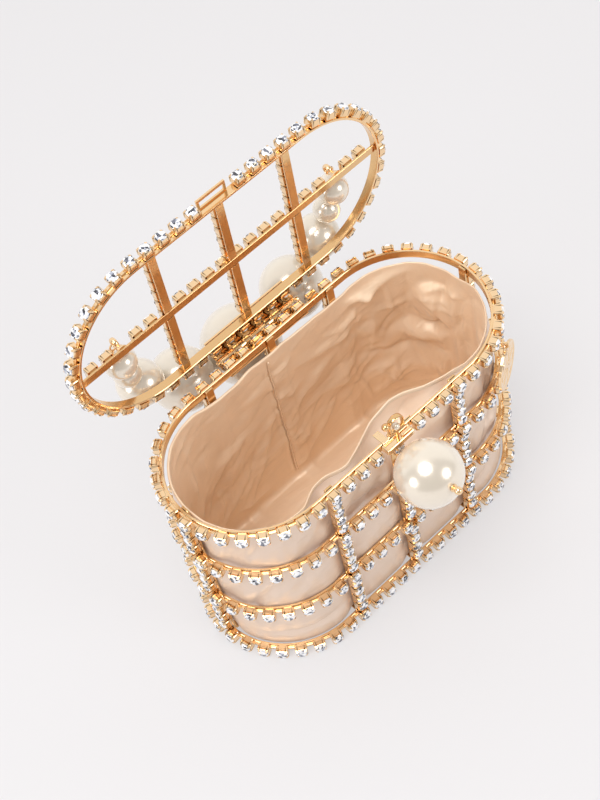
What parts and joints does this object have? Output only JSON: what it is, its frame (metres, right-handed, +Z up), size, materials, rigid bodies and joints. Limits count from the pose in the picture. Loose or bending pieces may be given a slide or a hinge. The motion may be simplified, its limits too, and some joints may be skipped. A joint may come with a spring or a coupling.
{
  "type": "clutch bag",
  "caption": "Gilt cage clutch bag with crystal-set bars, pearl strand handle, turn-key clasp and satin pouch.",
  "frame": {"origin": "underside of the long floor bar, at the middle of the cage's floor", "axes": "+X to the right along the cage's length, +Y to the back where the hinge is, +Z up"},
  "size_m": [0.1764, 0.1585, 0.194],
  "materials": {
    "gilt": "polished light gold plating",
    "silver": "polished silver-coloured rivet",
    "pearl": "creamy pearl lustre",
    "crystal": "clear faceted crystal, foil-backed",
    "satin": "soft beige satin"
  },
  "bodies": {
    "cage": {"ring_bottom": "gilt", "ring_lower": "gilt", "ring_upper": "gilt", "ring_rim": "gilt", "front_bar_left": "gilt", "front_bar_middle": "gilt", "front_bar_right": "gilt", "back_bar_left": "gilt", "back_bar_middle": "gilt", "back_bar_right": "gilt", "end_bar_left": "gilt", "end_bar_right": "gilt", "floor_bar_long": "gilt", "floor_bar_left": "gilt", "floor_bar_middle": "gilt", "floor_bar_right": "gilt", "pouch": "satin", "hinge_leaf_lower": "gilt", "hinge_pin": "gilt", "clasp_housing": "gilt", "clasp_back_plate": "gilt", "clasp_rivet": "silver", "knob_stem": "gilt", "knob_pearl": "pearl", "medallion_lug": "gilt"},
    "lid": {"lid_ring": "gilt", "lid_bar_long": "gilt", "lid_bar_front_left": "gilt", "lid_bar_front_middle": "gilt", "lid_bar_front_right": "gilt", "lid_bar_back_left": "gilt", "lid_bar_back_middle": "gilt", "lid_bar_back_right": "gilt", "handle_eye_left": "gilt", "handle_eye_right": "gilt", "catch_plate": "gilt", "hinge_leaf_upper": "gilt"},
    "handle": {"handle_wire": "gilt", "handle_end_left": "gilt", "handle_end_right": "gilt", "handle_pearl_1": "pearl", "handle_pearl_2": "pearl", "handle_pearl_3": "pearl", "handle_pearl_4": "pearl", "handle_pearl_5": "pearl", "handle_pearl_6": "pearl", "handle_pearl_7": "pearl", "handle_pearl_8": "pearl", "handle_pearl_9": "pearl"},
    "turn_key": {"turn_key": "gilt", "turn_key_washer": "gilt", "turn_key_bead": "pearl"},
    "medallion": {"medallion": "gilt"}
  },
  "joints": [
    {"name": "lid_hinge", "type": "hinge", "parent": "cage", "child": "lid", "pos_m": [0, 0.0454, 0.104], "axis": [1, 0, 0], "range_deg": [0, 88.4]},
    {"name": "handle_swing", "type": "hinge", "parent": "lid", "child": "handle", "pos_m": [0, 0.05493, 0.14968], "axis": [1, 0, 0], "range_deg": [0, 150]},
    {"name": "key_turn", "type": "hinge", "parent": "cage", "child": "turn_key", "pos_m": [0, -0.04135, 0.1113], "axis": [0, 0, 1], "range_deg": [0, 90]},
    {"name": "medallion_swing", "type": "hinge", "parent": "cage", "child": "medallion", "pos_m": [0.06601, -0.03941, 0.1], "axis": [-0.8796, -0.4756, 0], "range_deg": [0, 60]}
  ]
}
